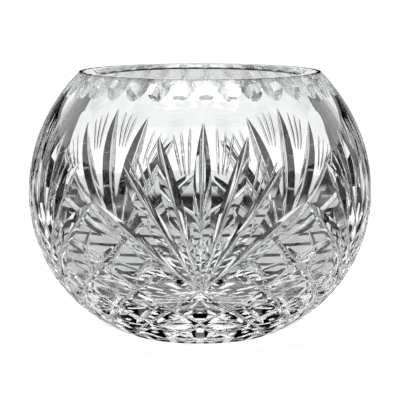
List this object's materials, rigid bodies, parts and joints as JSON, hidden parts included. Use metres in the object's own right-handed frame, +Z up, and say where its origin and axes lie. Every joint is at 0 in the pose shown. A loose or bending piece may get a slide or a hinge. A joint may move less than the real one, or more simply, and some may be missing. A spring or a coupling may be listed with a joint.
{
  "type": "rose bowl vase",
  "caption": "Round cut-crystal rose bowl with a fluted neck, fans of leaf cuts and crossed mitre diamonds, open at the top to hold water and cut flowers.",
  "frame": {"origin": "centre of the foot, on the plane the bowl stands on", "axes": "+Z up along the bowl's axis; -Y faces the viewer, through the middle of one fan of leaf cuts"},
  "size_m": [0.1778, 0.1779, 0.1377],
  "materials": {
    "crystal": "polished cut lead crystal"
  },
  "bodies": {
    "root": {"crystal_bowl": "crystal"}
  },
  "joints": []
}
